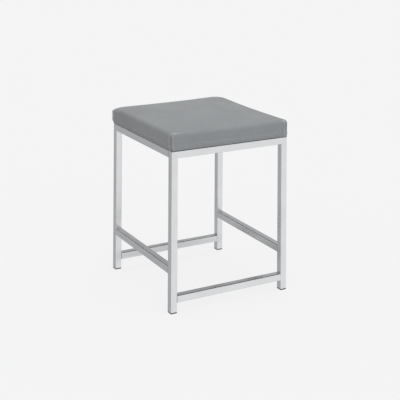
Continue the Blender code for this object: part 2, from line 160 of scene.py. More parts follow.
# Seams up the corners: a groove between two raised lips, and a ridge along the top's edge, which runs on at
# the left corners and is a short knot at the right ones. Pairs are for the left corners and the right ones
# The lips and ridges are painted paler, a painted highlight, and the grooves darker, a painted shade
GROOVE_DEPTH = 0.0009
GROOVE_AT_BOARD = 0.4
GROOVE_ABOVE_BOARD = 0.005
GROOVE_WIDTH = 0.0008
# Widths of the painted shade along the grooves
GROOVE_SHADES = (0.0008, 0.0024)
LIP_HEIGHT = 0.0008
LIP_ON_SIDES = 0.0064
LIP_ON_FRONTS = (0.0045, 0.0079)
SIDE_LIP_WIDTH = 0.0016
FRONT_LIP_WIDTHS = (0.0020, 0.0030)
# How strongly the front lips carry the painted highlight
FRONT_LIP_PAINTED_HIGHLIGHT = 0.38
SEAM_REACH_FADE = 0.004
SEAM_BOTTOM_FADE = (-0.0005, 0.002)
SEAM_TOP = 0.001
SEAM_TOP_FADE = 0.006
RIDGE_HEIGHT = 0.0013
RIDGE_PLACES = (0.0040, 0.0145)
RIDGE_LENGTHS = (0.042, 0.0048)
# How strongly the ridges carry the painted highlight
RIDGE_PAINTED_HIGHLIGHTS = (0.75, 1.0)
RIDGE_ANGLES = (math.radians(18), math.radians(40))
RIDGE_SPREAD = math.radians(17)

# Puckers beside the seams, and folds where the cover is pulled down to the board
PUCKER_HEIGHT = 0.0003
PUCKER_PITCH = 0.015
PUCKER_REACH = 0.022
PUCKER_ON_FRONTS = 0.5
FOLD_HEIGHT = 0.00018
FOLD_WIDTH = 0.0021
FOLD_LEVELS = (0.006, 0.0125)
FOLD_WAVES = (43.0, 71.0)
FOLD_SHIFT = 40.0
FOLD_FADE = (0.004, 0.03)
WRINKLED_WITHIN = 0.003

# Stitches on the lips
STITCH_LENGTH = 0.0031
STITCH_PITCH = 0.0042
STITCH_RADIUS = 0.00035
STITCH_SIDES = 6
STITCH_STEPS = 6
STITCH_ARCH = 1.6
STITCH_ARCH_POWER = 0.6
STITCH_SINK = 0.9
STITCHES_FROM = 0.0055
STITCHES_TO = 0.002
OUTSIDE_SEAT = 0.25

# Dust sheet under the seat
DUST_SAG = 0.004
DUST_SAG_POWER = 0.8
DUST_PAST_PLATES = (0.004, 0.07)
DUST_SCALLOP = 0.0010
DUST_SCALLOP_REACH = 0.07
DUST_RIPPLES = (  # height, waves along X and along Y, and phase
    (0.00045, 61.0, 43.0, 0.4), (0.00035, -38.0, 83.0, 1.9), (0.00025, 127.0, -52.0, 3.1),
)
DUST_STEP = 0.009
DUST_EDGE = 0.003
DUST_HOLE = 0.0038
TOLERANCE = 1e-6

# Welds between the tubes, ground flush
WELD_DEPTH = 0.00012
WELD_THICKNESS = 0.0009
TUBE_CORNER = 0.002
TUBE_CORNER_STEPS = 4
WELDED = (  # a tube that ends square, the axis along it, and a leg that it meets
    ("top_rail_left", 1, "leg_front_left"), ("top_rail_right", 1, "leg_front_right"),
    ("side_stretcher_left", 1, "leg_front_left"), ("side_stretcher_right", 1, "leg_front_right"),
    ("foot_rail_front", 0, "leg_front_right"), ("foot_rail_rear", 0, "leg_rear_right"),
)


# ---- shader nodes ----

def add_node(tree, kind, inputs=None, **settings):
    """A shader node. An input's value is a constant or the output that is linked to it."""
    node = tree.nodes.new("ShaderNode" + kind)
    for name, value in settings.items():
        setattr(node, name, value)
    for socket, value in (inputs or {}).items():
        if isinstance(value, bpy.types.NodeSocket):
            tree.links.new(value, node.inputs[socket])
        else:
            node.inputs[socket].default_value = value
    return node


def mix_colours(tree, factor, first, second):
    """A mix of two colours, each a constant or an output."""
    node = tree.nodes.new("ShaderNodeMix")
    node.data_type = "RGBA"
    sockets = [socket for socket in node.inputs if socket.type == "RGBA"]
    tree.links.new(factor, node.inputs[0])
    for socket, value in zip(sockets, (first, second)):
        if isinstance(value, bpy.types.NodeSocket):
            tree.links.new(value, socket)
        else:
            socket.default_value = (*value, 1)
    return [socket for socket in node.outputs if socket.type == "RGBA"][0]


def mix_shaders(tree, factor, first, second):
    return add_node(tree, "MixShader", {0: factor, 1: first.outputs[0], 2: second.outputs[0]})


def maths(tree, operation, first, second=0.0, third=0.0):
    return add_node(tree, "Math", {0: first, 1: second, 2: third}, operation=operation).outputs[0]


def span(tree, value, low, high, to_low=0.0, to_high=1.0):
    """A value from one range carried over to another, smoothly."""
    return add_node(tree, "MapRange", {"Value": value, "From Min": low, "From Max": high,
                                       "To Min": to_low, "To Max": to_high},
                    interpolation_type="SMOOTHSTEP").outputs[0]


def new_material(name, constants):
    """A Principled material, its node tree and its shader, with the values that are the same all over."""
    material = bpy.data.materials.new(name)
    material.use_nodes = True
    shader = material.node_tree.nodes["Principled BSDF"]
    for socket, value in constants.items():
        shader.inputs[socket].default_value = value
    return material, material.node_tree, shader


def place(tree, scale=(1, 1, 1)):
    """Where a point of the object is, in metres, stretched by scale."""
    where = add_node(tree, "TexCoord").outputs["Object"]
    return add_node(tree, "Mapping", {"Vector": where, "Scale": scale}).outputs[0]


def noise(tree, where, scale, detail=3.0, roughness=0.55):
    return add_node(tree, "TexNoise", {"Vector": where, "Scale": scale, "Detail": detail,
                                       "Roughness": roughness}).outputs["Fac"]


def finish(tree, shader, colour, roughness, height, depth, strength):
    """Link a surface's colour, roughness and relief to its shader. Depth is in metres."""
    bump = add_node(tree, "Bump", {"Height": height, "Distance": depth, "Strength": strength})
    tree.links.new(colour, shader.inputs["Base Color"])
    tree.links.new(roughness, shader.inputs["Roughness"])
    tree.links.new(bump.outputs[0], shader.inputs["Normal"])


# ---- materials ----

def satin_metal(axis):
    """Satin plated steel, polished along its tube: fine streaks, soft smudges."""
    material, tree, shader = new_material("satin_metal_" + axis, {"Metallic": 1.0})
    stretch = [STREAKS_ALONG if name == axis else STREAKS_ACROSS for name in "xyz"]
    streaks = noise(tree, place(tree, stretch), scale=1.0, detail=3.0, roughness=0.6)
    smudges = noise(tree, place(tree), scale=17.0, detail=4.0, roughness=0.55)
    tone = maths(tree, "MULTIPLY_ADD", streaks, 0.45, maths(tree, "MULTIPLY", smudges, 0.55))
    colour = mix_colours(tree, span(tree, tone, 0.3, 0.7), (0.530, 0.536, 0.547), (0.570, 0.576, 0.587))
    roughness = span(tree, tone, 0.3, 0.7, 0.27, 0.21)
    finish(tree, shader, colour, roughness, streaks, depth=0.00003, strength=0.12)
    return material


def zinc():
    """Zinc plating with a faint spangle."""
    material, tree, shader = new_material("zinc", {"Metallic": 1.0})
    spangle = add_node(tree, "TexVoronoi", {"Vector": place(tree), "Scale": 700.0}).outputs["Color"]
    patch = add_node(tree, "SeparateColor", {0: spangle}).outputs[0]
    haze = noise(tree, place(tree), scale=160.0)
    tone = maths(tree, "MULTIPLY_ADD", patch, 0.4, maths(tree, "MULTIPLY", haze, 0.6))
    colour = mix_colours(tree, span(tree, tone, 0.2, 0.8), (0.50, 0.51, 0.53), (0.66, 0.67, 0.70))
    roughness = span(tree, tone, 0.2, 0.8, 0.46, 0.33)
    finish(tree, shader, colour, roughness, haze, depth=0.00006, strength=0.4)
    return material


def black_plastic():
    """Moulded black plastic with a fine spark-eroded grain."""
    material, tree, shader = new_material("black_plastic", {"IOR": 1.46})
    grain = add_node(tree, "TexVoronoi", {"Vector": place(tree), "Scale": 1500.0},
                     feature="SMOOTH_F1").outputs["Distance"]
    scuffs = noise(tree, place(tree), scale=220.0, detail=4.0, roughness=0.6)
    colour = mix_colours(tree, span(tree, scuffs, 0.45, 0.8), (0.014, 0.014, 0.015), (0.035, 0.035, 0.036))
    roughness = span(tree, scuffs, 0.3, 0.75, 0.42, 0.60)
    finish(tree, shader, colour, roughness, grain, depth=0.00012, strength=0.5)
    return material


def leatherette():
    """Grey leatherette: a pebbled grain with fine creases between the pebbles, satin on top."""
    material, tree, shader = new_material("leatherette", {"IOR": 1.48, "Specular IOR Level": 0.24})
    wander = add_node(tree, "TexNoise", {"Vector": place(tree), "Scale": 420.0,
                                         "Detail": 2.0}).outputs["Color"]
    shift = add_node(tree, "VectorMath", {0: wander, 1: (0.0011, 0.0011, 0.0011)},
                     operation="MULTIPLY").outputs[0]
    where = add_node(tree, "VectorMath", {0: place(tree), 1: shift}, operation="ADD").outputs[0]
    pebbles = add_node(tree, "TexVoronoi", {"Vector": where, "Scale": 820.0},
                       feature="DISTANCE_TO_EDGE").outputs["Distance"]
    crease = span(tree, pebbles, 0.0, 0.22)
    pores = noise(tree, place(tree), scale=2600.0, detail=2.0)
    height = maths(tree, "MULTIPLY_ADD", pores, 0.25, crease)
    clouds = noise(tree, place(tree), scale=9.0, detail=5.0, roughness=0.6)
    shade = mix_colours(tree, span(tree, clouds, 0.3, 0.7), (0.262, 0.271, 0.275), (0.282, 0.291, 0.295))
    dark = mix_colours(tree, span(tree, clouds, 0.3, 0.7), (0.216, 0.224, 0.229), (0.234, 0.242, 0.247))
    colour = mix_colours(tree, crease, dark, shade)
    # Painted highlight: the lips and ridges of the seams are painted paler. Painted shade: their grooves are
    # painted darker
    painted_light = add_node(tree, "Attribute", attribute_name="painted_light").outputs["Fac"]
    colour = mix_colours(tree, span(tree, painted_light, 0.05, 0.9, 0.0, 0.75), colour, (0.43, 0.44, 0.445))
    colour = mix_colours(tree, span(tree, painted_light, -1.0, -0.1, 0.25, 0.0), colour, (0.10, 0.105, 0.11))
    roughness = maths(tree, "MULTIPLY_ADD", clouds, -0.10, span(tree, crease, 0.0, 1.0, 0.62, 0.50))
    finish(tree, shader, colour, roughness, height, depth=0.00016, strength=0.45)
    return material


def thread():
    """Grey sewing thread, twisted."""
    material, tree, shader = new_material("thread", {"Specular IOR Level": 0.3})
    twist = add_node(tree, "TexWave", {"Vector": place(tree), "Scale": 700.0, "Distortion": 1.0},
                     bands_direction="DIAGONAL").outputs["Fac"]
    colour = mix_colours(tree, twist, (0.20, 0.21, 0.215), (0.30, 0.31, 0.315))
    roughness = span(tree, twist, 0.0, 1.0, 0.75, 0.6)
    finish(tree, shader, colour, roughness, twist, depth=0.0001, strength=0.5)
    return material


def black_cloth():
    """Black non-woven cloth: felted fibres with a raster of bonding dots."""
    material, tree, shader = new_material("black_cloth", {"Specular IOR Level": 0.25, "Sheen Weight": 0.15,
                                                          "Sheen Roughness": 0.5})
    fibres = noise(tree, place(tree), scale=900.0, detail=6.0, roughness=0.7)
    raster = {"Vector": place(tree), "Scale": 620.0, "Randomness": 0.0}
    dot = span(tree, add_node(tree, "TexVoronoi", raster).outputs["Distance"], 0.18, 0.34)
    tone = maths(tree, "MULTIPLY_ADD", fibres, 0.6, maths(tree, "MULTIPLY", dot, 0.4))
    colour = mix_colours(tree, span(tree, tone, 0.35, 0.85), (0.010, 0.010, 0.011), (0.040, 0.040, 0.042))
    roughness = span(tree, tone, 0.3, 0.9, 0.78, 0.95)
    finish(tree, shader, colour, roughness, tone, depth=0.00025, strength=0.6)
    return material


def plywood():
    """Birch plywood: long grain on the faces, light and dark plies on the edges."""
    material, tree, shader = new_material("plywood", {"Specular IOR Level": 0.3})
    grain = noise(tree, place(tree, (14, 260, 60)), scale=1.0, detail=5.0, roughness=0.6)
    plies = add_node(tree, "TexWave", {"Vector": place(tree, (0, 0, 1)), "Scale": 75.0, "Distortion": 0.6,
                                       "Detail": 2.0}, bands_direction="Z").outputs["Fac"]
    tone = maths(tree, "MULTIPLY_ADD", plies, 0.3, maths(tree, "MULTIPLY", grain, 0.7))
    colour = mix_colours(tree, span(tree, tone, 0.25, 0.8), (0.36, 0.22, 0.11), (0.60, 0.44, 0.27))
    roughness = span(tree, grain, 0.3, 0.7, 0.55, 0.75)
    finish(tree, shader, colour, roughness, grain, depth=0.0002, strength=0.5)
    return material


def foam():
    """Pale open-cell foam."""
    material, tree, shader = new_material("foam", {"Specular IOR Level": 0.2})
    cells = add_node(tree, "TexVoronoi", {"Vector": place(tree), "Scale": 900.0},
                     feature="DISTANCE_TO_EDGE").outputs["Distance"]
    wall = span(tree, cells, 0.0, 0.25)
    colour = mix_colours(tree, wall, (0.80, 0.74, 0.56), (0.62, 0.55, 0.38))
    roughness = span(tree, wall, 0.0, 1.0, 0.8, 0.95)
    finish(tree, shader, colour, roughness, wall, depth=0.0004, strength=0.7)
    return material


# ---- meshes ----

def new_piece(name, mesh, *materials):
    piece = bpy.data.objects.new(name, mesh)
    bpy.context.scene.collection.objects.link(piece)
    for material in materials:
        mesh.materials.append(material)
    return piece


def baked(piece):
    """Apply a piece's modifiers to its mesh."""
    graph = bpy.context.evaluated_depsgraph_get()
    mesh = bpy.data.meshes.new_from_object(piece.evaluated_get(graph))
    piece.modifiers.clear()
    piece.data = mesh


def mesh_of(shape, name):
    """A mesh of a bmesh, which is freed."""
    mesh = bpy.data.meshes.new(name)
    shape.to_mesh(mesh)
    shape.free()
    return mesh


def smooth(mesh):
    for face in mesh.polygons:
        face.use_smooth = True


def bridged(first, second):
    """The corners of the faces between two loops."""
    return [(first[k - 1], first[k], second[k], second[k - 1]) for k in range(len(first))]


def bell(value, middle, width):
    return math.exp(-((value - middle) / width) ** 2)


def smoothstep(value, low, high):
    share = min(max((value - low) / (high - low), 0.0), 1.0)
    return share * share * (3 - 2 * share)


# ---- studio ----

def seen_rays(tree):
    """The kinds of ray, and 1 for those that show a look: direct, in a reflection or through glass."""
    path = add_node(tree, "LightPath").outputs
    reflected = maths(tree, "MAXIMUM", path["Is Glossy Ray"], path["Is Transmission Ray"])
    return path, maths(tree, "MAXIMUM", path["Is Camera Ray"], reflected)


def facing(tree, direction, way):
    """How far a direction goes along a way."""
    return add_node(tree, "VectorMath", {0: direction, 1: way}, operation="DOT_PRODUCT").outputs["Value"]


def upright(tree, level, foot, head):
    """1 between the foot and the head of a panel, and 0 past their soft edges."""
    return maths(tree, "MULTIPLY", span(tree, level, *foot), span(tree, level, *head, 1.0, 0.0))


def build_world():
    """The pale room for what is seen, and an even fill for what lights the object."""
    world = bpy.data.worlds.new("studio")
    world.use_nodes = True
    tree = world.node_tree
    path, seen = seen_rays(tree)
    direction = add_node(tree, "TexCoord").outputs["Generated"]
    axes = add_node(tree, "SeparateXYZ", {0: direction}).outputs
    level = axes["Z"]
    ahead = facing(tree, direction, SOFTBOX_SIDE)
    front = span(tree, ahead, SOFTBOX_FROM, SOFTBOX_TO)
    low = span(tree, level, SOFTBOX_FULL_BELOW, SOFTBOX_NONE_ABOVE, 1.0, 0.0)
    room = mix_colours(tree, span(tree, level, -ROOM_TURN, ROOM_TURN), ROOM_FLOOR, ROOM_WALL)
    room = mix_colours(tree, maths(tree, "MULTIPLY", front, low), room, SOFTBOX)
    raised = upright(tree, level, KEY_PANEL_FOOT, KEY_PANEL_HEAD)
    key = maths(tree, "MULTIPLY", raised, span(tree, ahead, *KEY_PANEL_SIDE))
    room = mix_colours(tree, key, room, KEY_PANEL)
    behind = span(tree, ahead, -BACK_PANEL_TO, -BACK_PANEL_FROM, 1.0, 0.0)
    raised = upright(tree, level, BACK_PANEL_FOOT, BACK_PANEL_HEAD)
    room = mix_colours(tree, maths(tree, "MULTIPLY", behind, raised), room, BACK_PANEL)
    room = mix_colours(tree, span(tree, level, CEILING_FROM, CEILING_TO), room, CEILING)
    for flag in FLAGS:
        off = maths(tree, "ABSOLUTE", maths(tree, "SUBTRACT", axes[flag["across"]], flag["middle"]))
        card = maths(tree, "MULTIPLY", span(tree, off, flag["full"], flag["reach"], 1.0, 0.0),
                     span(tree, facing(tree, direction, flag["up"]), flag["from"], flag["to"]))
        card = maths(tree, "MULTIPLY", card, span(tree, axes["X"], *FLAG_END))
        room = mix_colours(tree, card, room, FLAG)
    room = mix_colours(tree, path["Is Camera Ray"], room, BACKDROP)
    colour = mix_colours(tree, seen, FILL_COLOUR, room)
    tree.links.new(colour, tree.nodes["Background"].inputs["Color"])
    world.cycles.sampling_method = "NONE"
    bpy.context.scene.world = world


def floor_spot(tree, middle, reach):
    """1 at a place on the floor, and less away from it."""
    scale = Vector((1 / reach[0], 1 / reach[1], 0))
    shift = Vector((-middle[0] * scale.x, -middle[1] * scale.y, 0))
    where = add_node(tree, "TexCoord").outputs["Object"]
    spot = add_node(tree, "Mapping", {"Vector": where, "Location": shift, "Scale": scale}).outputs[0]
    away = add_node(tree, "VectorMath", {0: spot}, operation="LENGTH").outputs["Value"]
    return span(tree, away, *SPOT_FADE, 1.0, 0.0)


def build_floor():
    """A pale floor that shows from above only."""
    half = FLOOR_SIZE / 2
    mesh = bpy.data.meshes.new("floor")
    corners = [(-half, -half, 0), (half, -half, 0), (half, half, 0), (-half, half, 0)]
    mesh.from_pydata(corners, [], [(0, 1, 2, 3)])
    material = bpy.data.materials.new("floor")
    material.use_nodes = True
    tree = material.node_tree
    tree.nodes.clear()
    path, seen = seen_rays(tree)
    lit = add_node(tree, "BsdfDiffuse", {"Color": (*FLOOR_COLOUR, 1)})
    glow = add_node(tree, "Emission", {"Color": (*FLOOR_GLOW_COLOUR, 1)})
    above = mix_shaders(tree, maths(tree, "MULTIPLY", seen, FLOOR_GLOW), lit, glow)
    # In a reflection the floor is the room's own, shaded under the stool and bright behind it
    bright = maths(tree, "MULTIPLY", floor_spot(tree, BRIGHT_PLACE, BRIGHT_REACH), MIRRORED_BRIGHT)
    shade = maths(tree, "MULTIPLY", floor_spot(tree, SHADE_PLACE, SHADE_REACH), MIRRORED_SHADE)
    clear = maths(tree, "SUBTRACT", maths(tree, "ADD", bright, MIRRORED), shade)
    mirrored = add_node(tree, "BsdfTransparent", {"Color": clear})
    above = mix_shaders(tree, path["Is Glossy Ray"], above, mirrored)
    below = add_node(tree, "BsdfTransparent")
    side = add_node(tree, "NewGeometry").outputs["Backfacing"]
    both = mix_shaders(tree, side, above, below)
    add_node(tree, "OutputMaterial", {"Surface": both.outputs[0]})
    floor = new_piece("floor", mesh, material)


def add_sun(name, direction, strength, angle, colour=(1, 1, 1)):
    """A broad far lamp that shines from this direction, and that no reflection shows."""
    lamp = bpy.data.lights.new(name, "SUN")
    lamp.energy = strength
    lamp.color = colour
    lamp.angle = angle
    holder = bpy.data.objects.new(name, lamp)
    bpy.context.scene.collection.objects.link(holder)
    holder.rotation_euler = Vector(direction).to_track_quat("Z", "Y").to_euler()
    holder.visible_glossy = False


def build_lights():
    add_sun("overhead_lamp", OVERHEAD_FROM, OVERHEAD_STRENGTH, OVERHEAD_ANGLE)
    add_sun("front_lamp", FRONT_FROM, FRONT_STRENGTH, FRONT_ANGLE, FRONT_COLOUR)


def build_camera():
    """A view camera: the picture plane is square to the level lens axis, and the picture lies below it."""
    up = Vector((0, 0, 1))
    right = Vector((math.cos(CAMERA_YAW), -math.sin(CAMERA_YAW), 0))
    ahead = Vector((math.sin(CAMERA_YAW), math.cos(CAMERA_YAW), 0))
    across = math.cos(CAMERA_ROLL) * right + math.sin(CAMERA_ROLL) * up
    upward = math.cos(CAMERA_ROLL) * up - math.sin(CAMERA_ROLL) * right
    off_x = PICTURE_SIZE / 2 - AXIS_PIXEL[0]
    off_y = PICTURE_SIZE / 2 - AXIS_PIXEL[1]
    to_middle = off_x * across - off_y * upward + FOCAL_PIXELS * ahead
    stand = bpy.data.objects.new("camera_stand", None)
    lens = bpy.data.cameras.new("camera")
    lens.sensor_width = SENSOR_WIDTH
    lens.lens = SENSOR_WIDTH * to_middle.length / PICTURE_SIZE
    camera = bpy.data.objects.new("camera", lens)
    for obj in (stand, camera):
        bpy.context.scene.collection.objects.link(obj)
    axes = Matrix((across, upward, -to_middle.normalized())).transposed().to_4x4()
    camera.parent = stand
    camera.matrix_parent_inverse = Matrix.Translation(CAMERA_PLACE) @ axes
    bpy.context.scene.camera = camera


# ---- seat cushion ----

def side_shares(fine=False):
    """Places along half a side of the seat, from a corner, 0, to the side's middle, 1."""
    half = SHOULDER_HALF - EDGE_RADIUS
    rest = (half - CORNER_STEPS[-1]) / PLAIN_STEPS
    steps = list(CORNER_STEPS) + [CORNER_STEPS[-1] + rest * (i + 1) for i in range(PLAIN_STEPS)]
    shares = [step / half for step in steps]
    if fine:
        halves = [(a + b) / 2 for a, b in zip(shares, shares[1:])]
        shares = sorted(shares + halves)
    return shares


def drawn_in(x, y, half, draw):
    """A point of the seat, pulled in between the corners."""
    across, along = min(abs(x) / half, 1), min(abs(y) / half, 1)
    pull = draw / half
    return (x * (1 - pull * across ** DRAW_IN_POWER * (1 - along ** 2)),
            y * (1 - pull * along ** DRAW_IN_POWER * (1 - across ** 2)))


def leaning(level):
    """How far the cover leans over at a level."""
    return Vector((*LEAN, 0)) * smoothstep(level, LEAN_FROM, LEAN_TO)


def ring(half, corners, level, draw, shares):
    """A loop of points, counter-clockwise from the front right corner, on a square with round corners."""
    points = []
    for quarter in range(4):
        turn = Matrix.Rotation(quarter * math.pi / 2, 2)
        near, far = corners[quarter], corners[(quarter + 1) % 4]
        side = [(share, near, -1) for share in shares] + [(share, far, 1) for share in shares[-2:0:-1]]
        for share, corner, sign in side:
            arc = corner * math.pi / 4
            along = share * (arc + half - corner)
            if along < arc:
                angle = math.pi / 4 - along / corner
                x, y = half - corner + corner * math.cos(angle), half - corner + corner * math.sin(angle)
            else:
                x, y = half, half - corner - (along - arc)
            x, y = turn @ Vector((x, sign * y))
            points.append(Vector((*drawn_in(x, y, half, draw), level)) + leaning(level))
    return points


def between(first, second, share):
    return [a + (b - a) * share for a, b in zip(first, second)]


def cover_rows(top, bottom):
    """Half width, corner radii, level and draw-in of the cover's rows, from the top's edge to the hem."""
    shoulder = top - (top - bottom) * SHOULDER_SHARE
    on_board, on_hem = 4 * [BOARD_CORNER], 4 * [HEM_CORNER]
    rows = []
    for step in range(EDGE_STEPS + 1):
        angle = step / EDGE_STEPS * math.pi / 2
        rows.append((SHOULDER_HALF - EDGE_RADIUS * (1 - math.sin(angle)),
                     between(TOP_CORNERS, SHOULDER_CORNERS, math.sin(angle)),
                     shoulder - EDGE_RADIUS * (1 - math.cos(angle)), DRAW_IN))
    upper, lower = shoulder - EDGE_RADIUS, bottom + BOTTOM_RADIUS
    for step in range(1, SIDE_ROWS + 1):
        share = step / SIDE_ROWS
        rows.append((SHOULDER_HALF + (BOARD_HALF - SHOULDER_HALF) * share ** WIDTH_TAPER,
                     between(SHOULDER_CORNERS, on_board, share ** CORNER_TAPER),
                     upper + (lower - upper) * share, DRAW_IN * (1 - smoothstep(share, 0.0, DRAW_IN_FADE))))
    for step in range(1, BOTTOM_STEPS + 1):
        angle = step / BOTTOM_STEPS * math.pi / 2
        tuck = BOTTOM_RADIUS * (1 - math.cos(angle))
        rows.append((BOARD_HALF - tuck, 4 * [BOARD_CORNER - tuck],
                     lower - BOTTOM_RADIUS * math.sin(angle), 0))
    start = BOARD_HALF - BOTTOM_RADIUS
    for step in range(1, HEM_ROWS + 1):
        share = step / HEM_ROWS
        rows.append((start + (HEM_HALF - start) * share, between(on_board, on_hem, share), bottom, 0))
    return rows


def cover_mesh(top, bottom):
    """The outside of the cover before it is filled, open at the hem, and its rows of vertices."""
    shares = side_shares()
    count = 2 * (len(shares) - 1)
    rows = cover_rows(top, bottom)
    half, corners, level, draw = rows[0]
    # The top: a grid whose outer lines lie on the first row
    verts, grid = [], {}
    full = shares + shares[-2::-1]
    places = [half * (share - 1 if index <= count / 2 else 1 - share) for index, share in enumerate(full)]
    edge = ring(half, corners, level, draw, shares)
    for i in range(count + 1):
        for j in range(count + 1):
            if i == count and j < count:
                point = edge[j]
            elif j == count and i > 0:
                point = edge[count + count - i]
            elif i == 0 and j > 0:
                point = edge[2 * count + count - j]
            elif j == 0:
                point = edge[3 * count + i]
            else:
                point = Vector((*drawn_in(places[i], places[j], half, draw), level)) + leaning(level)
            lift = (1 - (point.x / half) ** 2) * (1 - (point.y / half) ** 2)
            grid[i, j] = len(verts)
            verts.append(point + Vector((0, 0, FIRST_CROWN * (top - level) * max(lift, 0) ** CROWN_POWER)))
    faces = [(grid[i, j], grid[i + 1, j], grid[i + 1, j + 1], grid[i, j + 1])
             for i in range(count) for j in range(count)]
    loop = [grid[count, j] for j in range(count)] + [grid[count - k, count] for k in range(count)]
    loop += [grid[0, count - k] for k in range(count)] + [grid[k, 0] for k in range(count)]
    loops = [loop]
    for row in rows[1:]:
        start = len(verts)
        verts += ring(*row, shares)
        loops.append(list(range(start, start + 4 * count)))
        faces += bridged(loops[-1], loops[-2])
    mesh = bpy.data.meshes.new("seat_cushion")
    mesh.from_pydata(verts, [], faces)
    return mesh, loops


def fill_cover(cover, top, held):
    """Blow the cover up as its filling does, held where it is stretched round the board."""
    before = [vertex.co.copy() for vertex in cover.data.vertices]
    cover.vertex_groups.new(name="held").add(held, 1.0, "REPLACE")
    cloth = cover.modifiers.new("fill", "CLOTH")
    cloth.settings.quality = CLOTH_QUALITY
    cloth.settings.mass = CLOTH_MASS
    cloth.settings.use_pressure = True
    cloth.settings.uniform_pressure_force = CLOTH_PRESSURE
    cloth.settings.vertex_group_mass = "held"
    cloth.settings.effector_weights.gravity = 0
    cloth.collision_settings.use_collision = False
    cloth.point_cache.frame_end = CLOTH_FRAMES
    for number in range(1, CLOTH_FRAMES + 1):
        bpy.context.scene.frame_set(number)
    graph = bpy.context.evaluated_depsgraph_get()
    after = [vertex.co.copy() for vertex in cover.evaluated_get(graph).data.vertices]
    cover.modifiers.clear()
    cover.vertex_groups.clear()
    bpy.context.scene.frame_set(1)
    # The rise is scaled to the height of the real seat, and the bulge of the sides is capped
    rise = max(b.z - a.z for a, b in zip(before, after))
    share = (top - max(point.z for point in before)) / rise
    for vertex, start, end in zip(cover.data.vertices, before, after):
        move = end - start
        sideways = move.xy
        if sideways.length > 0:
            sideways *= SIDE_CAP * math.tanh(sideways.length / SIDE_CAP) / sideways.length
        vertex.co = start + Vector((*sideways, move.z * share))


def settle_corners(cover, top, bottom):
    """Let corners of the top sink or fill out a little."""
    shoulder = top - (top - bottom) * SHOULDER_SHARE
    signs = ((1, -1), (1, 1), (-1, 1), (-1, -1))
    for vertex in cover.data.vertices:
        share = smoothstep(vertex.co.z, shoulder - EDGE_RADIUS - SETTLED_BELOW, shoulder)
        for (x, y), dip, reach, lift in zip(signs, CORNER_DIPS, DIP_REACHES, CORNER_LIFTS):
            away = (vertex.co.xy - SHOULDER_HALF * Vector((x, y))).length
            vertex.co.z += share * (lift * bell(away, 0, LIFT_REACH) - dip * bell(away, 0, reach))


def wrinkles(x, y, z, top, bottom):
    """Height of the puckers beside the seams and of the folds along the lower edge."""
    onto_side = x > y
    away = SHOULDER_HALF - (y if onto_side else x)
    height = (z - bottom) / (top - bottom)
    pucker = math.cos(2 * math.pi * away / PUCKER_PITCH) * math.exp(-away / PUCKER_REACH)
    pucker *= max(math.sin(math.pi * min(max(height, 0), 1)), 0) * (1 if onto_side else PUCKER_ON_FRONTS)
    fold = 0
    for level, wave in zip(FOLD_LEVELS, FOLD_WAVES):
        swell = (1 + math.sin(wave * away + FOLD_SHIFT * level + onto_side)) / 2
        fold += bell(z - bottom, level, FOLD_WIDTH) * swell
    outside = smoothstep(max(x, y), BOARD_HALF - WRINKLED_WITHIN, BOARD_HALF)
    return outside * (pucker * PUCKER_HEIGHT + fold * FOLD_HEIGHT * smoothstep(away, *FOLD_FADE))


def carve_seams(cover, top, bottom):
    """Seams up the corners, ridges along the top's edge beside them, and a record of their painted highlight
    and painted shade.
    """
    cover.data.update()
    shoulder = top - (top - bottom) * SHOULDER_SHARE
    seam_top = shoulder - SEAM_TOP
    board_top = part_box("seat_board")[1][2]
    reach = 2 * (BOARD_HALF - BOARD_CORNER)
    moves, painted_lights = [], []
    for vertex in cover.data.vertices:
        point = vertex.co - leaning(vertex.co.z)
        x, y, z = abs(point.x), abs(point.y), point.z
        off = (x - y) * math.sqrt(0.5)
        right = point.x > 0
        near = smoothstep(x + y, reach - SEAM_REACH_FADE, reach + SEAM_REACH_FADE)
        near *= smoothstep(z, bottom + SEAM_BOTTOM_FADE[0], bottom + SEAM_BOTTOM_FADE[1])
        near *= 1 - smoothstep(z, seam_top - SEAM_TOP_FADE, seam_top)
        groove = near * bell(off, 0, GROOVE_WIDTH)
        side_lip = near * bell(off, LIP_ON_SIDES, SIDE_LIP_WIDTH)
        front_lip = near * bell(off, -LIP_ON_FRONTS[right], FRONT_LIP_WIDTHS[right])
        above_board = smoothstep(z, board_top, board_top + GROOVE_ABOVE_BOARD)
        depth = GROOVE_DEPTH * (GROOVE_AT_BOARD + (1 - GROOVE_AT_BOARD) * above_board)
        turn = math.atan2(y - SHOULDER_HALF + EDGE_RADIUS, z - shoulder + EDGE_RADIUS)
        ridge = bell(turn, RIDGE_ANGLES[right], RIDGE_SPREAD)
        ridge *= bell(x, SHOULDER_HALF - RIDGE_PLACES[right], RIDGE_LENGTHS[right])
        ridge *= smoothstep(y, SHOULDER_HALF - 2 * EDGE_RADIUS, SHOULDER_HALF - EDGE_RADIUS)
        raised = (side_lip + front_lip) * LIP_HEIGHT + ridge * RIDGE_HEIGHT
        moves.append(raised - groove * depth + wrinkles(x, y, z, top, bottom))
        # Painted highlight on the lips and ridges, less a painted shade along the grooves
        painted_light = max(side_lip, front_lip * FRONT_LIP_PAINTED_HIGHLIGHT, ridge * RIDGE_PAINTED_HIGHLIGHTS[right])
        painted_lights.append(painted_light - near * bell(off, 0, GROOVE_SHADES[right]))
    normals = [vertex.normal.copy() for vertex in cover.data.vertices]
    for vertex, normal, move in zip(cover.data.vertices, normals, moves):
        vertex.co += normal * move
    # Kept on the cover, where the leatherette paints the highlight and the shade from it
    cover.data.attributes.new("painted_light", "FLOAT", "POINT").data.foreach_set("value", painted_lights)


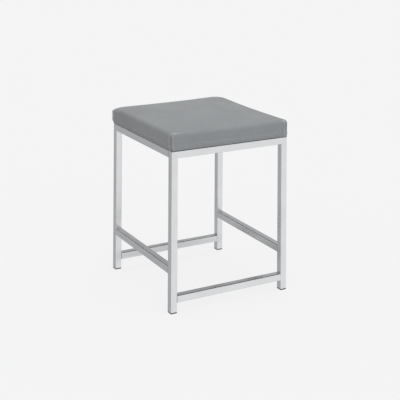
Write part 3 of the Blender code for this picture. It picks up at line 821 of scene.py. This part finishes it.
def close_pocket(cover, bottom):
    """Close the cover over the board: under it with the hem, round its edge and across its top."""
    half, _, board_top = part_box("seat_board")[1]
    half += POCKET_GAP
    inside = bottom + COVER_THICKNESS
    leather, padding = 0, 1
    shares = side_shares(fine=True)
    shell = bmesh.new()
    shell.from_mesh(cover.data)
    # The loop of vertices along the open edge, in the order of ring's points
    around = {}
    for edge in shell.edges:
        if edge.is_boundary:
            for vertex in edge.verts:
                around.setdefault(vertex, []).append(edge.other_vert(vertex))
    first = min(around, key=lambda v: (v.co - Vector((HEM_HALF, -HEM_HALF, bottom))).length)
    second = max(around[first], key=lambda v: v.co.y)
    loop = [first, second]
    while len(loop) < len(around):
        loop.append(next(v for v in around[loop[-1]] if v is not loop[-2]))
    for width, corner, level, material in ((HEM_HALF, HEM_CORNER, inside, leather),
                                           (half, POCKET_CORNER, inside, leather),
                                           (half, POCKET_CORNER, board_top + POCKET_GAP, padding)):
        inner = [shell.verts.new(point) for point in ring(width, 4 * [corner], level, 0, shares)]
        for corners in bridged(inner, loop):
            face = shell.faces.new(corners)
            face.material_index = material
            face.smooth = False
        loop = inner
    lid = shell.faces.new(list(reversed(loop)))
    lid.material_index = padding
    lid.smooth = False
    bmesh.ops.triangulate(shell, faces=[lid])
    bmesh.ops.recalc_face_normals(shell, faces=shell.faces)
    shell.to_mesh(cover.data)
    shell.free()


def build_cushion(leather, padding):
    """The seat's cover over its filling, in place of the plain cover and foam."""
    bottom, top = (corner[2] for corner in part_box("seat_cover"))
    mesh, loops = cover_mesh(top, bottom)
    cover = new_piece("seat_cushion", mesh, leather, padding)
    board_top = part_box("seat_board")[1][2]
    held = [index for loop in loops for index in loop if mesh.vertices[index].co.z < board_top]
    fill_cover(cover, top, held)
    settle_corners(cover, top, bottom)
    cover.modifiers.new("smooth", "SUBSURF").levels = 1
    baked(cover)
    carve_seams(cover, top, bottom)
    smooth(cover.data)
    close_pocket(cover, bottom)
    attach(cover, "root")
    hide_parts("seat_cover", "seat_foam")
    return cover


# ---- stitching ----

def stitch(shape, start, end, out):
    """One stitch: a short thread that arches over the lip and dives in at both ends."""
    along = (end - start).normalized()
    side = along.cross(out).normalized()
    loops = []
    for step in range(STITCH_STEPS + 1):
        share = step / STITCH_STEPS
        arch = math.sin(share * math.pi) ** STITCH_ARCH_POWER * STITCH_ARCH - STITCH_SINK
        centre = start.lerp(end, share) + out * STITCH_RADIUS * arch
        loop = []
        for k in range(STITCH_SIDES):
            angle = k / STITCH_SIDES * 2 * math.pi
            away = math.cos(angle) * side + math.sin(angle) * out
            loop.append(shape.verts.new(centre + STITCH_RADIUS * away))
        loops.append(loop)
    for first, second in zip(loops, loops[1:]):
        for corners in bridged(first, second):
            shape.faces.new(corners)
    shape.faces.new(loops[0])
    shape.faces.new(list(reversed(loops[-1])))


def build_stitching(cover, material):
    """Rows of stitches on the lips of the corner seams."""
    bottom, top = (corner[2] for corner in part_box("seat_cover"))
    surface = BVHTree.FromPolygons([vertex.co for vertex in cover.data.vertices],
                                   [face.vertices for face in cover.data.polygons])
    shape = bmesh.new()
    start = bottom + STITCHES_FROM
    end = top - (top - bottom) * SHOULDER_SHARE - EDGE_RADIUS + STITCHES_TO
    rows = int((end - start) / STITCH_PITCH)
    on_side = SHOULDER_HALF - LIP_ON_SIDES * math.sqrt(2)
    for x in (-1, 1):
        on_front = SHOULDER_HALF - LIP_ON_FRONTS[x > 0] * math.sqrt(2)
        for y in (-1, 1):
            for place_x, place_y, inward in ((OUTSIDE_SEAT, on_side, Vector((-x, 0, 0))),
                                             (on_front, OUTSIDE_SEAT, Vector((0, -y, 0)))):
                for row in range(rows):
                    ends = []
                    for level in (start + row * STITCH_PITCH, start + row * STITCH_PITCH + STITCH_LENGTH):
                        origin = Vector((x * place_x, y * place_y, level)) + leaning(level)
                        ends.append(surface.ray_cast(origin, inward)[0])
                    stitch(shape, *ends, -inward)
    bmesh.ops.recalc_face_normals(shape, faces=shape.faces)
    mesh = mesh_of(shape, "seat_stitching")
    smooth(mesh)
    stitching = new_piece("seat_stitching", mesh, material)
    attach(stitching, "root")


# ---- dust sheet ----

def sheet_lines(half, bolt):
    """Grid lines across the sheet, with one through each row of bolts and one at each edge of their holes."""
    fixed = sorted({sign * value for sign in (-1, 1)
                    for value in (half, half - DUST_EDGE, bolt + DUST_HOLE, bolt, bolt - DUST_HOLE)})
    lines = []
    for a, b in zip(fixed, fixed[1:]):
        steps = max(1, round((b - a) / DUST_STEP))
        lines += [a + (b - a) * k / steps for k in range(steps)]
    return lines + [fixed[-1]]


def middle_x(box):
    low, high = box
    return (low[0] + high[0]) / 2


def build_dust_sheet(material):
    """The sheet under the seat, stapled to the board, with a hole at each bolt, and slack in its middle."""
    low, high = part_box("dust_cover")
    half, level, thickness = high[0], high[2], high[2] - low[2]
    bolt = middle_x(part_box("seat_bolt_front_right"))
    line = middle_x(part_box("staple_right_2"))
    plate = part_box("corner_plate_front_right")
    reach = plate[1][0] + plate[0][0]
    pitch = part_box("staple_front_3")[0][0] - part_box("staple_front_2")[0][0]
    lines = sheet_lines(half, bolt)
    count = len(lines)
    shape = bmesh.new()
    verts = {}
    for i, x in enumerate(lines):
        for j, y in enumerate(lines):
            free = smoothstep(reach - abs(x) - abs(y), *DUST_PAST_PLATES)
            sag = max(1 - (x / line) ** 2, 0) * max(1 - (y / line) ** 2, 0)
            drop = DUST_SAG * free * sag ** DUST_SAG_POWER
            for along, inward in ((x, line - abs(y)), (y, line - abs(x))):
                slack = (1 - math.cos(2 * math.pi * along / pitch)) / 2
                drop += DUST_SCALLOP * free * slack * (1 - smoothstep(abs(inward), 0.0, DUST_SCALLOP_REACH))
            for height, along_x, along_y, phase in DUST_RIPPLES:
                drop += height * free * sag * math.sin(along_x * x + along_y * y + phase)
            # The square of lines round a bolt becomes the round edge of its hole
            place_x, place_y = x, y
            dx, dy = abs(x) - bolt, abs(y) - bolt
            if TOLERANCE < max(abs(dx), abs(dy)) < DUST_HOLE + TOLERANCE:
                far = DUST_HOLE / math.hypot(dx, dy)
                place_x, place_y = math.copysign(bolt + dx * far, x), math.copysign(bolt + dy * far, y)
            verts[i, j] = shape.verts.new((place_x, place_y, level - drop))
    for i in range(count - 1):
        for j in range(count - 1):
            x, y = (lines[i] + lines[i + 1]) / 2, (lines[j] + lines[j + 1]) / 2
            if max(abs(abs(x) - bolt), abs(abs(y) - bolt)) > DUST_HOLE:
                shape.faces.new((verts[i, j], verts[i + 1, j], verts[i + 1, j + 1], verts[i, j + 1]))
    bmesh.ops.delete(shape, geom=[v for v in shape.verts if not v.link_faces], context="VERTS")
    mesh = mesh_of(shape, "dust_sheet")
    smooth(mesh)
    sheet = new_piece("dust_sheet", mesh, material)
    solid = sheet.modifiers.new("thickness", "SOLIDIFY")
    solid.thickness = thickness
    solid.offset = -1
    baked(sheet)
    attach(sheet, "root")
    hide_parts("dust_cover")


# ---- frame ----

def tube_outline(half):
    """Points round a tube's section."""
    straight = half - TUBE_CORNER
    points = []
    for quarter in range(4):
        turn = Matrix.Rotation(quarter * math.pi / 2, 2)
        for step in range(TUBE_CORNER_STEPS + 1):
            angle = step / TUBE_CORNER_STEPS * math.pi / 2
            points.append(turn @ Vector((straight + TUBE_CORNER * math.cos(angle),
                                         straight + TUBE_CORNER * math.sin(angle))))
    return points


def build_welds(material):
    """Welds that fill the joints where a tube ends square against another."""
    shape = bmesh.new()
    for name, axis, inner in WELDED:
        low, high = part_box(name)
        leg_low, leg_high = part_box(inner)
        face = min(abs(leg_low[axis]), abs(leg_high[axis]))
        middle = (Vector(low) + Vector(high)) / 2
        half = (high[2] - low[2]) / 2 - WELD_DEPTH
        for sign in (-1, 1):
            loops = []
            for size, place_on in ((half, high[axis]), (half, face), (half - WELD_THICKNESS, face),
                                   (half - WELD_THICKNESS, high[axis])):
                loop = []
                for u, v in tube_outline(size):
                    point = Vector((middle.x + u, middle.y + u, middle.z + v))
                    point[axis] = sign * place_on
                    loop.append(shape.verts.new(point))
                loops.append(loop)
            for first, second in zip(loops, loops[1:] + loops[:1]):
                for corners in bridged(first, second):
                    shape.faces.new(corners)
    bmesh.ops.recalc_face_normals(shape, faces=shape.faces)
    welds = new_piece("weld_seams", mesh_of(shape, "weld_seams"), material)
    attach(welds, "root")


def finish_nodes():
    """Finishes for the CAD pieces whose shape is right as it is, and the welds between them."""
    along = {axis: satin_metal(axis) for axis in "xyz"}
    finishes = {
        "leg": along["z"], "top_rail_front": along["x"], "top_rail_rear": along["x"], "top_rail": along["y"],
        "foot_rail": along["x"], "side_stretcher": along["y"], "corner_plate": along["x"],
        "foot_glide": black_plastic(), "seat_board": plywood(),
    }
    hardware = zinc()
    for prefix in ("seat_bolt", "seat_washer", "tee_nut", "staple"):
        finishes[prefix] = hardware
    for name, node in nodes.items():
        fitting = [prefix for prefix in finishes if name.startswith(prefix)]
        if fitting:
            node.data.materials[0] = finishes[max(fitting, key=len)]
    build_welds(along["z"])


build_camera()
build_world()
build_floor()
build_lights()
finish_nodes()
cushion = build_cushion(leatherette(), foam())
build_stitching(cushion, thread())
build_dust_sheet(black_cloth())
bpy.context.scene.view_settings.view_transform = "Standard"
